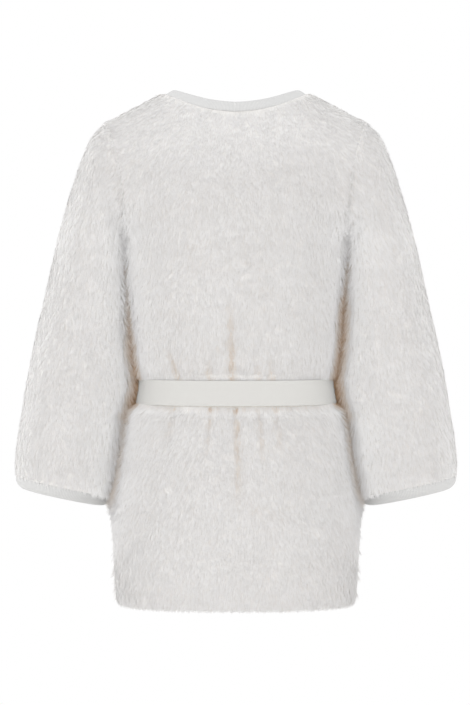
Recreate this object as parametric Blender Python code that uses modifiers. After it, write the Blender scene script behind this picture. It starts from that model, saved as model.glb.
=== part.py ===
"""Belted fur cardigan, filled out as if worn, with no wearer inside it.

Metres, +Z up. The garment's front faces -Y and its back +Y; +X is the wearer's left.
The origin is midway between the two points where shoulder meets neck, on the inside of the
cloth, where the wearer's shoulders carry the garment. Every size of the body and sleeves is
to the tips of the fur, so a wall is the backing and the pile together.
"""

import math
from collections import namedtuple

import bmesh
import bpy
import numpy as np

# Cloth
FUR_WALL = 0.010
BAND_WALL = 0.0045
BELT_WALL = 0.0026
SEAM_GAP = 0.0003
EDGE_ROUND = 0.0085
FRONT_GAP = 0.0024

# Heights, with the hem at the bottom and the neck at 0
HEM = -0.7365
UNDERARM = -0.215
BELT_MIDDLE = -0.425
BELT_WIDTH = 0.036
BELT_DIP = 0.003
BELT_PULL = 0.11
BELT_COLUMNS = 26

# Neck and shoulders
NECK_HALF_WIDTH = 0.106
NECK_TOP = 0.0085
BACK_NECK_DROP = 0.0285
BACK_NECK_DEPTH = 0.060
BACK_NECK_BOW = 1.9
FRONT_NECK_DROP = 0.098
FRONT_NECK_DEPTH = 0.084
FRONT_NECK_BOW = 2.6
NECK_BAND_HEIGHT = 0.0125
NECK_BAND_SET_IN = 0.003
NECK_BAND_UPRIGHT = 2.0
SHOULDER_HALF_WIDTH = 0.188
SHOULDER_TIP = -0.035
SHOULDER_BOW = 0.0010
SHOULDER_CURL = 4
SHOULDER_BLUR = 0.35

# Armhole, an oval loop that leans out to the shoulder tip
ARMHOLE_DEPTH = 0.078
ARMHOLE_HALF_WIDTH = 0.154
ARMHOLE_ROWS = 12
ARMHOLE_OPENS = 0.45

# Roundness of the body's and the sleeves' sections: 2 is an ellipse, more is squarer
BODY_ROUNDNESS = 2.3
SLEEVE_ROUNDNESS = 2.15

# Belt knot and hanging ends
KNOT_WIDTH = 0.030
KNOT_HEIGHT = 0.047
KNOT_DEPTH = 0.017
END_WIDTH = 0.034
END_LENGTH = 0.215
END_SPLAY = 0.024
END_CLEAR = 0.0038
END_ROWS = 10
END_BUNCHED = 0.45
END_SPREADS = 0.25
END_WAVE = 0.0014
END_BUNCH = 0.005
END_SLANT = 0.008
KNOT_ROUND = 0.0065

# Body sections from the hem to the neck, to the tips of the fur
BodySection = namedtuple("BodySection", "height half_width back front")
BODY_SECTIONS = (
    BodySection(-0.7365, 0.1750, 0.1285, 0.1255),
    BodySection(-0.700, 0.1775, 0.1305, 0.1275),
    BodySection(-0.649, 0.1795, 0.1320, 0.1285),
    BodySection(-0.606, 0.1770, 0.1320, 0.1280),
    BodySection(-0.574, 0.1720, 0.1300, 0.1260),
    BodySection(-0.532, 0.1645, 0.1260, 0.1225),
    BodySection(-0.498, 0.1600, 0.1215, 0.1190),
    BodySection(-0.474, 0.1570, 0.1175, 0.1160),
    BodySection(-0.460, 0.1545, 0.1150, 0.1135),
    BodySection(-0.4515, 0.1510, 0.1110, 0.1105),
    BodySection(-0.445, 0.1450, 0.1020, 0.1040),
    BodySection(-0.405, 0.1388, 0.1020, 0.1040),
    BodySection(-0.395, 0.1420, 0.1090, 0.1100),
    BodySection(-0.380, 0.1447, 0.1115, 0.1125),
    BodySection(-0.353, 0.1480, 0.1130, 0.1155),
    BodySection(-0.288, 0.1535, 0.1155, 0.1235),
    BodySection(-0.215, 0.1605, 0.1180, 0.1290),
    BodySection(-0.150, 0.1640, 0.1170, 0.1220),
    BodySection(-0.100, 0.1700, 0.1090, 0.1010),
    BodySection(-0.060, 0.1800, 0.0940, 0.0800),
    BodySection(-0.023, 0.1950, 0.0600, 0.0600),
)

# Heights of the rows of a skirt, and of a bodice below the armhole, closest where the belt presses
# the fur in. The two meet in a waist seam under the belt.
SKIRT_ROWS = (
    -0.7345, -0.727, -0.700, -0.650, -0.605, -0.565, -0.530, -0.500, -0.476, -0.459, -0.451, -0.445,
    BELT_MIDDLE - SEAM_GAP / 2,
)
BODICE_ROWS = (
    BELT_MIDDLE + SEAM_GAP / 2,
    -0.405, -0.400, -0.392, -0.378, -0.358, -0.330, -0.295, -0.255, -0.227,
)

# Gathers that the belt draws in: where each crosses the waist from the middle, how far it runs
# above and below the belt, and how deep it is there
Gather = namedtuple("Gather", "across above above_depth below below_depth")
BACK_GATHERS = (
    Gather(-0.080, 0.045, 0.0045, 0.045, 0.0045),
    Gather(-0.052, 0.055, 0.0050, 0.040, 0.0045),
    Gather(-0.029, 0.075, 0.0060, 0.060, 0.0060),
    Gather(0.002, 0.125, 0.0080, 0.120, 0.0080),
    Gather(0.035, 0.042, 0.0060, 0.062, 0.0060),
    Gather(0.088, 0.070, 0.0065, 0.065, 0.0050),
)
FRONT_GATHERS = (
    Gather(0.036, 0.050, 0.0055, 0.065, 0.0060),
    Gather(0.064, 0.078, 0.0065, 0.050, 0.0055),
    Gather(0.096, 0.045, 0.0050, 0.070, 0.0055),
)
GATHER_WIDTH = 0.0105
CLOSEST_COLUMNS = 0.013
WIDEST_COLUMNS = 0.12

# Sleeve sections from armhole to cuff seam: the outer and inner points as seen from behind
SleeveSection = namedtuple("SleeveSection", "out_x out_z in_x in_z half_depth middle_y")
SLEEVE_SECTIONS = (
    SleeveSection(0.2105, -0.0550, 0.1618, -0.2190, 0.0790, 0.000),
    SleeveSection(0.2255, -0.0870, 0.1625, -0.2250, 0.0795, 0.000),
    SleeveSection(0.2450, -0.1480, 0.1620, -0.2370, 0.0795, -0.001),
    SleeveSection(0.2635, -0.2130, 0.1595, -0.2640, 0.0785, -0.003),
    SleeveSection(0.2795, -0.2870, 0.1540, -0.3130, 0.0775, -0.005),
    SleeveSection(0.2935, -0.3450, 0.1495, -0.3620, 0.0770, -0.007),
    SleeveSection(0.3055, -0.4020, 0.1430, -0.4120, 0.0770, -0.009),
    SleeveSection(0.3140, -0.4550, 0.1570, -0.4640, 0.0770, -0.011),
    SleeveSection(0.3210, -0.4970, 0.1640, -0.5110, 0.0765, -0.012),
    SleeveSection(0.3240, -0.5270, 0.1695, -0.5500, 0.0745, -0.013),
    SleeveSection(0.3230, -0.5475, 0.1745, -0.5790, 0.0720, -0.013),
)
RINGS_BETWEEN = 2

# Cuff band, from the sleeve's end inward: how far along, and how much smaller each way
CuffSection = namedtuple("CuffSection", "along smaller")
CUFF_SECTIONS = (
    CuffSection(0.0000, 0.0012),
    CuffSection(0.0070, 0.0035),
    CuffSection(0.0135, 0.0090),
    CuffSection(0.0175, 0.0175),
)

FUR_COLOUR = (0.72, 0.70, 0.67, 1.0)
KNIT_COLOUR = (0.74, 0.73, 0.71, 1.0)
BELT_COLOUR = (0.75, 0.74, 0.71, 1.0)


def smooth_curve(places, values, at):
    """Values at new places along a soft curve through all the given points."""
    places = np.asarray(places, float)
    values = np.asarray(values, float)
    steps = np.diff(values) / np.diff(places)
    before, after = steps[:-1], steps[1:]
    level = before * after <= 0
    inner = np.where(level, 0, 2 * before * after / np.where(level, 1, before + after))
    slopes = np.concatenate([steps[:1], inner, steps[-1:]])
    at = np.clip(at, places[0], places[-1])
    left = np.clip(np.searchsorted(places, at, side="right") - 1, 0, len(places) - 2)
    span = places[left + 1] - places[left]
    t = (at - places[left]) / span
    rise = values[left + 1] - values[left]
    bend_in = slopes[left] * span - rise
    bend_out = rise - slopes[left + 1] * span
    return values[left] + t * rise + t * (1 - t) * (bend_in * (1 - t) + bend_out * t)


def body_size(column, height):
    heights = [section.height for section in BODY_SECTIONS]
    sizes = [getattr(section, column) for section in BODY_SECTIONS]
    return smooth_curve(heights, sizes, height)


def unit(vectors):
    return vectors / np.maximum(np.linalg.norm(vectors, axis=-1, keepdims=True), 1e-12)


def round_in(turn, roundness):
    """Sideways and outward shares of a rounded section at a turn from its middle, 0 to 1."""
    angle = np.abs(turn) * math.pi / 2
    sideways = np.sign(turn) * np.sin(angle) ** (2 / roundness)
    outward = np.maximum(np.cos(angle), 0.0) ** (2 / roundness)
    return sideways, outward


def turn_at(share):
    """The turn at which the body's section reaches a share of its half width."""
    return 2 / math.pi * np.arcsin(np.abs(share) ** (BODY_ROUNDNESS / 2)) * np.sign(share)


NECK_TURN = float(turn_at(NECK_HALF_WIDTH / SHOULDER_HALF_WIDTH))


def armhole_loop(angle):
    """A point of the left armhole's seam and the way into the wall; angle 0 is the shoulder tip."""
    middle = (SHOULDER_TIP + UNDERARM) / 2
    half_height = (SHOULDER_TIP - UNDERARM) / 2
    up = np.cos(angle)
    lean = (SHOULDER_HALF_WIDTH - ARMHOLE_HALF_WIDTH) * ((1 + up) / 2) ** 2.2
    tuck = (body_size("half_width", UNDERARM) - ARMHOLE_HALF_WIDTH) * ((1 - up) / 2) ** 2
    y = ARMHOLE_DEPTH * np.sin(angle)
    point = np.stack([ARMHOLE_HALF_WIDTH + lean + tuck, y, middle + half_height * up], axis=-1)
    inward = np.stack([0 * up, -y / ARMHOLE_DEPTH**2, -up / half_height], axis=-1)
    return point, unit(inward)


def neck_seam(share, facing):
    """A point of the neck seam; share runs from 0 at the middle to 1 at the shoulder."""
    drop, depth, bow = (
        (BACK_NECK_DROP, BACK_NECK_DEPTH, BACK_NECK_BOW)
        if facing > 0
        else (FRONT_NECK_DROP, FRONT_NECK_DEPTH, FRONT_NECK_BOW)
    )
    out = np.abs(share)
    x = NECK_HALF_WIDTH * share
    y = facing * depth * np.sqrt(np.maximum(1 - out**2, 0))
    z = NECK_TOP - drop * (1 - out**bow)
    return np.stack([x, y, z], axis=-1)


def top_row(turns, facing):
    """The row of points where a body panel ends: neck seam in the middle, shoulder seam outside."""
    sideways, _ = round_in(turns, BODY_ROUNDNESS)
    x = SHOULDER_HALF_WIDTH * sideways
    out = (np.abs(x) - NECK_HALF_WIDTH) / (SHOULDER_HALF_WIDTH - NECK_HALF_WIDTH)
    slope = NECK_TOP + (SHOULDER_TIP - NECK_TOP) * out + 4 * SHOULDER_BOW * out * (1 - out)
    shoulder = np.stack([x, 0 * x, slope], axis=-1)
    neck = neck_seam(np.clip(x / NECK_HALF_WIDTH, -1, 1), facing)
    return np.where((out >= -1e-9)[:, None], shoulder, neck)


def top_ways(points, facing):
    """Ways out of the wall along a panel's top row, as steep at the neck as on the shoulder."""
    depth = BACK_NECK_DEPTH if facing > 0 else FRONT_NECK_DEPTH
    x, y, _ = points.T
    flat = unit(np.stack([x / NECK_HALF_WIDTH**2, y / depth**2, 0 * x], axis=-1))
    lean = (NECK_TOP - SHOULDER_TIP) / (SHOULDER_HALF_WIDTH - NECK_HALF_WIDTH)
    return unit(flat * lean + np.array([0, 0, 1.0]))


def section_row(turns, middle, end, middle_y, end_y, half_width, open_side=0.0):
    """One row of points across a body panel, from its middle round to its side seam.

    Where the side is open, at the armhole, the row runs on toward the sleeve instead.
    """
    sideways, outward = round_in(turns, BODY_ROUNDNESS)
    across = np.abs(sideways)
    closing = np.sign(middle_y) * np.hypot(middle_y * outward, end_y * across**8)
    running_on = end_y + (middle_y - end_y) * (1 - across**2.6)
    y = closing + (running_on - closing) * open_side
    return np.stack([half_width * sideways, y, middle + (end - middle) * across], axis=-1)


def softened(rows, turns, width):
    """Values across a panel, blurred sideways by a width and still nothing at the sides."""
    if width == 0:
        return rows
    apart = (turns[:, None] - turns[None, :]) / (width * SHOULDER_BLUR)
    weights = np.exp(-(apart**2)) * np.gradient(turns)[None, :]
    soft = weights @ rows / weights.sum(axis=1, keepdims=True)
    return soft * (1 - np.abs(turns) ** 6)[:, None]


def panel_surface(turns, facing):
    """Outer points of a body panel, as rows from hem to shoulder; facing is 1 behind, -1 in front."""
    depth = "back" if facing > 0 else "front"
    _, outward = round_in(turns, BODY_ROUNDNESS)
    rows = []
    for height in (HEM, *SKIRT_ROWS, *BODICE_ROWS, UNDERARM):
        near_belt = math.exp(-(((height - BELT_MIDDLE) / BELT_PULL) ** 2))
        size = body_size("half_width", height)
        row = section_row(turns, height, height, facing * body_size(depth, height), 0.0, size)
        row[:, 2] -= facing * BELT_DIP * near_belt * outward
        rows.append(row)
    ends, _ = armhole_loop(np.linspace(math.pi, 0, ARMHOLE_ROWS + 1))
    neck_middle = neck_seam(np.zeros(1), facing)[0]
    plain_top = section_row(
        turns, neck_middle[2], SHOULDER_TIP, neck_middle[1], 0.0, SHOULDER_HALF_WIDTH, 1.0
    )
    reach = top_row(turns, facing) - plain_top
    for step in range(1, ARMHOLE_ROWS + 1):
        even = step / ARMHOLE_ROWS
        share = (even + (1 - math.cos(math.pi * even)) / 2) / 2
        over = math.pi / 2 * share**SHOULDER_CURL
        weight = np.array([0, 1 - math.cos(over), math.sin(over)])
        end = ends[step]
        middle = UNDERARM + (neck_middle[2] - UNDERARM) * share
        middle_y = facing * body_size(depth, middle)
        middle_y += (neck_middle[1] - middle_y) * share**4
        open_side = min(1.0, share / ARMHOLE_OPENS)
        open_side *= open_side * (3 - 2 * open_side)
        row = section_row(turns, middle, end[2], middle_y, facing * end[1], end[0], open_side)
        rows.append(row + softened(reach, turns, 1 - share) * weight)
    return np.array(rows)


def grid_normals(points, facing_out, closed=False):
    """Outward directions over a grid of points, from the lines along and across it."""
    along = np.gradient(points, axis=0)
    if closed:
        across = np.roll(points, -1, axis=1) - np.roll(points, 1, axis=1)
    else:
        across = np.gradient(points, axis=1)
    return unit(np.cross(across, along)) * facing_out


def gather_dips(points, gathers):
    """How far the gathers pull the fur in, for each point of a body panel's rows."""
    heights = points[:, :, 2]
    across = points[:, :, 0] / np.abs(points[:, :, 0]).max(axis=1, keepdims=True)
    waist = across * body_size("half_width", BELT_MIDDLE)
    above = heights - (BELT_MIDDLE + BELT_WIDTH / 2)
    below = (BELT_MIDDLE - BELT_WIDTH / 2) - heights
    dips = np.zeros_like(heights)
    for gather in gathers:
        shape = np.exp(-(((waist - gather.across) / GATHER_WIDTH) ** 2))
        up = gather.above_depth * np.clip(1 - above / gather.above, 0, 1) * (above > 0)
        down = gather.below_depth * np.clip(1 - below / gather.below, 0, 1) * (below > 0)
        dips = np.maximum(dips, shape * (up + down))
    return dips


def edge_roll(distance):
    """How far a fur edge has rolled in at a distance from where it ends."""
    short = np.clip(EDGE_ROUND - distance, 0, EDGE_ROUND)
    return EDGE_ROUND - np.sqrt(EDGE_ROUND**2 - short**2)


def material_of(name, colour):
    found = bpy.data.materials.get(name)
    if found:
        return found
    material = bpy.data.materials.new(name)
    material.use_nodes = True
    shader = material.node_tree.nodes["Principled BSDF"]
    shader.inputs["Base Color"].default_value = colour
    shader.inputs["Roughness"].default_value = 0.9
    return material


def mesh_object(name, corners, faces, colour):
    mesh = bpy.data.meshes.new(name)
    mesh.from_pydata([tuple(corner) for corner in corners], [], faces)
    shape = bmesh.new()
    shape.from_mesh(mesh)
    bmesh.ops.recalc_face_normals(shape, faces=shape.faces)
    shape.to_mesh(mesh)
    shape.free()
    mesh.shade_smooth()
    mesh.set_sharp_from_angle(angle=math.radians(50))
    mesh.materials.append(material_of(*colour))
    made = bpy.data.objects.new(name, mesh)
    garment.objects.link(made)
    return made


def wall(name, outer, inner, colour, closed=False):
    """One closed solid between two grids of points; closed joins the last column to the first."""
    rows, columns = outer.shape[:2]
    corners = np.concatenate([outer.reshape(-1, 3), inner.reshape(-1, 3)])
    inside = rows * columns
    faces = []
    steps = columns if closed else columns - 1
    for row in range(rows - 1):
        for column in range(steps):
            a = row * columns + column
            b = row * columns + (column + 1) % columns
            c, d = b + columns, a + columns
            faces.append((a, b, c, d))
            faces.append((inside + d, inside + c, inside + b, inside + a))
    for row in (0, rows - 1):
        for column in range(steps):
            a = row * columns + column
            b = row * columns + (column + 1) % columns
            faces.append((a, b, inside + b, inside + a))
    if not closed:
        for column in (0, columns - 1):
            for row in range(rows - 1):
                a = row * columns + column
                b = a + columns
                faces.append((a, b, inside + b, inside + a))
    return mesh_object(name, corners, faces, colour)


def columns_for(gathers, low, high):
    """Turns across a panel: three columns to a gather, the neck corners, and even steps to the side."""
    half_waist = float(body_size("half_width", BELT_MIDDLE))
    turns = [low, high]
    for gather in gathers:
        for aside in (-0.8, 0.0, 0.8):
            turns.append(float(turn_at((gather.across + aside * GATHER_WIDTH) / half_waist)))
    for share in (-1.0, -0.93, 0.93, 1.0):
        turns.append(float(turn_at(share * NECK_HALF_WIDTH / SHOULDER_HALF_WIDTH)))
    turns = sorted(turn for turn in turns if low <= turn <= high)
    kept = [turns[0]]
    for turn in turns[1:]:
        close = turn - kept[-1] < CLOSEST_COLUMNS
        corner = abs(abs(turn) - NECK_TURN) < 1e-9
        if close and corner and kept[-1] not in (low, high):
            kept[-1] = turn
        elif not close:
            kept.append(turn)
    filled = [kept[0]]
    for turn in kept[1:]:
        parts = math.ceil((turn - filled[-1]) / WIDEST_COLUMNS)
        filled.extend(np.linspace(filled[-1], turn, parts + 1)[1:])
    return np.array(filled)


def panel_grid(turns, facing):
    """Outer points of a body panel and the ways out of its wall, square to its seams and edges."""
    outer = panel_surface(turns, facing)
    normals = grid_normals(outer, -facing)
    underarm_row = 1 + len(SKIRT_ROWS) + len(BODICE_ROWS)
    at_side = np.abs(np.abs(turns) - 1) < 1e-9
    normals[0, :, 2] = 0
    normals[:underarm_row, at_side, 1] = 0
    normals[-1] = top_ways(outer[-1], facing)
    if facing < 0:
        normals[:, turns == 0, 0] = 0
    _, inward = armhole_loop(np.linspace(math.pi, 0, ARMHOLE_ROWS + 1))
    for column in np.flatnonzero(at_side):
        normals[underarm_row:, column] = -inward * (1, facing, 1)
    return outer, unit(normals)


def body_panel(name, turns, gathers, facing):
    """A body panel's bodice and skirt: fur with gathers and rolled edges, and a plain inner face."""
    outer, normals = panel_grid(turns, facing)
    dip = gather_dips(outer, gathers)
    roll = edge_roll(outer[:, :, 2] - HEM)
    if facing < 0:
        roll = np.maximum(roll, edge_roll(np.abs(outer[:, :, 0])))
    fur = outer - normals * np.maximum(dip, roll)[:, :, None]
    inner = outer - normals * FUR_WALL
    for grid in (fur, inner):
        grid[:, :, 1] = facing * np.maximum(facing * grid[:, :, 1], SEAM_GAP / 2)
    if facing < 0:
        side = np.sign(turns[np.abs(turns).argmax()])
        for grid in (fur, inner):
            grid[:, :, 0] = side * np.maximum(side * grid[:, :, 0], FRONT_GAP / 2)
    waist = 1 + len(SKIRT_ROWS)
    wall(f"{name}_skirt", fur[:waist], inner[:waist], ("fur", FUR_COLOUR))
    wall(f"{name}_bodice", fur[waist:], inner[waist:], ("fur", FUR_COLOUR))


def sleeve_rings():
    """Outer rings of the left sleeve, from the armhole seam to the cuff seam."""
    angles = np.linspace(0, 2 * math.pi, 2 * ARMHOLE_ROWS, endpoint=False)
    loop, _ = armhole_loop(angles)
    knots = [loop + (SEAM_GAP * 2, 0, 0)]
    along = np.sign(np.cos(angles)) * np.abs(np.cos(angles)) ** (2 / SLEEVE_ROUNDNESS)
    behind = np.sign(np.sin(angles)) * np.abs(np.sin(angles)) ** (2 / SLEEVE_ROUNDNESS)
    for section in SLEEVE_SECTIONS:
        outside = np.array([section.out_x, 0, section.out_z])
        inside = np.array([section.in_x, 0, section.in_z])
        middle = (outside + inside) / 2 + (0, section.middle_y, 0)
        half = (outside - inside) / 2
        deep = np.array([0, section.half_depth, 0])
        knots.append(middle + along[:, None] * half + behind[:, None] * deep)
    knots = np.array(knots)
    steps = np.linalg.norm(np.diff(knots, axis=0), axis=2).mean(axis=1)
    places = np.concatenate([[0], np.cumsum(steps)])
    between = [np.linspace(a, b, RINGS_BETWEEN + 1)[:-1] for a, b in zip(places, places[1:])]
    at = np.append(np.concatenate(between), places[-1])
    rings = np.zeros((len(at), *knots.shape[1:]))
    for point in range(knots.shape[1]):
        for axis in range(3):
            rings[:, point, axis] = smooth_curve(places, knots[:, point, axis], at)
    return angles, rings


def sleeve_and_cuff(side, name):
    """A sleeve and its cuff band, on the left for side 1 and the right for side -1."""
    angles, rings = sleeve_rings()
    normals = grid_normals(rings, -1, closed=True)
    _, inward = armhole_loop(angles)
    normals[0] = -inward
    end = rings[-1]
    end_middle = end.mean(axis=0)
    end_axis = unit(np.cross(end[0] - end_middle, end[len(end) // 4] - end_middle))
    end_axis *= np.sign(-end_axis[2])
    normals[-1] -= (normals[-1] @ end_axis)[:, None] * end_axis
    normals = unit(normals)
    inner = rings - normals * FUR_WALL
    mirror = np.array([side, 1, 1])
    wall(f"sleeve_{name}", rings * mirror, inner * mirror, ("fur", FUR_COLOUR), closed=True)
    outward = unit(end - end_middle)
    band_outer = []
    band_inner = []
    for section in CUFF_SECTIONS:
        ring = end - outward * section.smaller + end_axis * (section.along + SEAM_GAP)
        band_outer.append(ring)
        band_inner.append(ring - outward * BAND_WALL)
    last = band_outer[-1] - outward * BAND_WALL * 0.75
    band_inner[-1] = last - end_axis * BAND_WALL * 0.75
    wall(f"cuff_{name}", np.array(band_outer) * mirror, np.array(band_inner) * mirror,
         ("knit", KNIT_COLOUR), closed=True)


def neck_band(back_turns, front_turns):
    """The rib band that stands on the neck seam, from one front edge round the back to the other."""
    behind = np.abs(back_turns) <= NECK_TURN + 1e-9
    before = front_turns < NECK_TURN - 1e-9
    back_points, back_ways = (grid[-1, behind][::-1] for grid in panel_grid(back_turns, 1))
    front_points, front_ways = (grid[-1, before] for grid in panel_grid(front_turns, -1))
    mirror = np.array([-1, 1, 1])
    seam = np.concatenate([front_points, back_points, front_points[::-1] * mirror])
    out = np.concatenate([front_ways, back_ways, front_ways[::-1] * mirror])
    onward = unit(np.cross(np.gradient(seam, axis=0), out))
    onward *= np.sign(onward[:, 2:])
    upright = NECK_BAND_UPRIGHT * (1 - (seam[:, :1] / NECK_HALF_WIDTH) ** 2)
    rise = unit(onward + upright * np.array([0, 0, 1.0]))
    square = unit(out - (out * rise).sum(axis=1, keepdims=True) * rise)
    outer = [seam - out * NECK_BAND_SET_IN + onward * SEAM_GAP * 2]
    inner = [outer[0] - out * BAND_WALL]
    for share, tuck in ((0.45, -0.0003), (0.85, 0.0003), (1.0, 0.0014)):
        line = outer[0] + rise * NECK_BAND_HEIGHT * share
        outer.append(line - square * tuck)
        inner.append(line - square * (BAND_WALL - tuck))
    outer = np.array(outer)
    inner = np.array(inner)
    for grid in (outer, inner):
        grid[:, 0, 0] = FRONT_GAP / 2
        grid[:, -1, 0] = -FRONT_GAP / 2
    wall("neck_band", outer, inner, ("knit", KNIT_COLOUR))


def waist_ring(height, out, count):
    """A ring round the waist at a height, clear of the fur by a distance."""
    rows = np.array([*SKIRT_ROWS[-2:], *BODICE_ROWS[:2]])
    turns = np.linspace(-1, 1, count, endpoint=False)
    parts = []
    for facing in (1, -1):
        depth = "back" if facing > 0 else "front"
        sideways, outward = round_in(turns * facing, BODY_ROUNDNESS)
        half_width = np.interp(height, rows, body_size("half_width", rows)) + out
        reach = np.interp(height, rows, body_size(depth, rows)) + out
        dip = facing * BELT_DIP * outward
        parts.append(np.stack([half_width * sideways, facing * reach * outward, height - dip], axis=-1))
    return np.concatenate(parts)


def belt():
    """The belt: a flat band round the waist, joined under the knot."""
    outer = []
    inner = []
    for share, thin in ((-1.0, 0.45), (-0.9, 0.0), (0.0, 0.0), (0.9, 0.0), (1.0, 0.45)):
        height = BELT_MIDDLE + share * BELT_WIDTH / 2
        inner.append(waist_ring(height, SEAM_GAP, BELT_COLUMNS))
        outer.append(waist_ring(height, SEAM_GAP + BELT_WALL * (1 - thin), BELT_COLUMNS))
    wall("belt", np.array(outer), np.array(inner), ("belt", BELT_COLOUR), closed=True)


def belt_knot():
    """The knot at centre front: a soft block that the belt's ends come out under."""
    front = float(body_size("front", BELT_MIDDLE)) + BELT_WALL + 2 * SEAM_GAP
    bpy.ops.mesh.primitive_cube_add(size=1)
    knot = bpy.context.object
    knot.name = knot.data.name = "belt_knot"
    block = bmesh.new()
    block.from_mesh(knot.data)
    bmesh.ops.scale(block, vec=(KNOT_WIDTH, KNOT_DEPTH, KNOT_HEIGHT), verts=block.verts)
    bmesh.ops.translate(block, vec=(0, -front - KNOT_DEPTH / 2, BELT_MIDDLE + BELT_DIP), verts=block.verts)
    block.to_mesh(knot.data)
    block.free()
    rounding = knot.modifiers.new("soft edges", "BEVEL")
    rounding.width = KNOT_ROUND
    rounding.segments = 4
    knot.data.materials.append(material_of("belt", BELT_COLOUR))
    for group in list(knot.users_collection):
        group.objects.unlink(knot)
    garment.objects.link(knot)


def belt_end(side, name):
    """One end of the belt, bunched under the knot and hanging over the fur of the front."""
    top = BELT_MIDDLE + BELT_DIP - KNOT_HEIGHT / 2 - SEAM_GAP
    outer = []
    inner = []
    for step in range(END_ROWS + 1):
        share = step / END_ROWS
        height = top - END_LENGTH * share
        spread = min(1.0, share / END_SPREADS)
        spread = spread * spread * (3 - 2 * spread)
        width = END_WIDTH * (END_BUNCHED + (1 - END_BUNCHED) * spread)
        across = np.linspace(-0.5, 0.5, 4) * width
        centre = side * (width / 2 + 0.0010 + END_SPLAY * share)
        reach = float(body_size("front", height)) + END_CLEAR
        turns = turn_at((centre + across) / float(body_size("half_width", height)))
        _, outward = round_in(turns, BODY_ROUNDNESS)
        wave = END_WAVE * math.sin(share * 7.0 + side)
        bunch = END_BUNCH * (1 - spread) ** 2
        y = -(reach * outward + wave + bunch)
        slant = END_SLANT * side * across / END_WIDTH * (step == END_ROWS)
        inner.append(np.stack([centre + across, y, height - slant], axis=-1))
        outer.append(np.stack([centre + across, y - BELT_WALL - bunch / 4, height - slant], axis=-1))
    wall(f"belt_end_{name}", np.array(outer), np.array(inner), ("belt", BELT_COLOUR))


for old in list(bpy.data.objects):
    bpy.data.objects.remove(old)
garment = bpy.data.collections.new("fur_cardigan")
bpy.context.scene.collection.children.link(garment)

back_turns = columns_for(BACK_GATHERS, -1.0, 1.0)
body_panel("back", back_turns, BACK_GATHERS, 1)
front_turns = columns_for(FRONT_GATHERS, 0.0, 1.0)
edge_turns = turn_at(np.array([0.0, 0.0025, 0.008]) / float(body_size("half_width", BELT_MIDDLE)))
front_turns = np.concatenate([edge_turns, front_turns[front_turns > edge_turns[-1] + 0.03]])
body_panel("front_left", front_turns, FRONT_GATHERS, -1)
mirrored = tuple(gather._replace(across=-gather.across) for gather in FRONT_GATHERS)
body_panel("front_right", -front_turns[::-1], mirrored, -1)
sleeve_and_cuff(1, "left")
sleeve_and_cuff(-1, "right")
neck_band(back_turns, front_turns)
belt()
belt_knot()
belt_end(1, "left")
belt_end(-1, "right")
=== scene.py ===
# %% [markdown]
# # A belted fur cardigan
#
# The real garment is a short cardigan of dense white fur: a back, two fronts and two wide sleeves, with
# narrow knitted bands at the neck and the cuffs and a woven belt tied at the front. It is filled out as
# if worn. The solids give its form to the tips of the fur. This lesson gives it its looks: a backing that
# lies under the pile, some ninety thousand locks of fur, knitted bands and woven belting.

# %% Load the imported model
import math
from collections import namedtuple

import bmesh
import bpy
import numpy as np
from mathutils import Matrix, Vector, noise
from mathutils.bvhtree import BVHTree


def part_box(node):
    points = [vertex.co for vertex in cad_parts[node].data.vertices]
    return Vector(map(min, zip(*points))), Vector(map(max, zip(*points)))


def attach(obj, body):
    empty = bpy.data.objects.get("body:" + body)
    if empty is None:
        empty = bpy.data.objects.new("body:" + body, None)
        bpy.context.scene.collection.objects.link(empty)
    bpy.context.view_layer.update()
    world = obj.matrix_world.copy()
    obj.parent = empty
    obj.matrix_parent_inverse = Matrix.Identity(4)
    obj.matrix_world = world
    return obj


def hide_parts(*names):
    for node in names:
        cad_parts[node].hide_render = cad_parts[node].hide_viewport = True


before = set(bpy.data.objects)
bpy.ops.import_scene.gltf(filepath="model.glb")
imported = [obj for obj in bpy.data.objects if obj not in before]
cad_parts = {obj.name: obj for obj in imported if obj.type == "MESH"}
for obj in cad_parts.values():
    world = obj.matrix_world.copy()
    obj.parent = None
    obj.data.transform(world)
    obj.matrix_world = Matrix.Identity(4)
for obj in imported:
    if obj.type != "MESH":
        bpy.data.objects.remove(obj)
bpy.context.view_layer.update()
MM = 0.001
scene = bpy.context.scene
print("solids:", ", ".join(sorted(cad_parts)))

# %% [markdown]
# ## Camera
#
# The photograph looks straight at the back of the garment from chest height. A long lens a few metres
# away keeps the sleeves from spreading. The lens follows from the distance and from how much of the
# garment one pixel covers.

# %% Camera
IMAGE_HEIGHT = 705
PIXEL = 1.45 * MM
CAMERA_DISTANCE = 3.8
FRAME_MIDDLE_X = 1.45 * MM
FRAME_MIDDLE_Z = -0.370
SENSOR = 36.0

camera = bpy.data.objects.new("photo_camera", bpy.data.cameras.new("photo_camera"))
scene.collection.objects.link(camera)
camera.location = (FRAME_MIDDLE_X, CAMERA_DISTANCE, FRAME_MIDDLE_Z)
camera.rotation_euler = (math.pi / 2, 0, math.pi)
camera.data.sensor_fit = "VERTICAL"
camera.data.sensor_height = SENSOR
camera.data.lens = SENSOR * CAMERA_DISTANCE / (IMAGE_HEIGHT * PIXEL)
scene.camera = camera
print(f"lens {camera.data.lens:.1f} mm at {CAMERA_DISTANCE} m")

# %% [markdown]
# ## Studio
#
# A white garment on white is lit from all round, so that shade gathers only in its creases. A white world
# does most of that. Six large soft lamps do the rest: one by the camera and one facing it, one on each
# side, one above, and one high on the left, which gives the gentle fall of light across the back. The floor
# is where the wearer would stand, below the picture.

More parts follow.
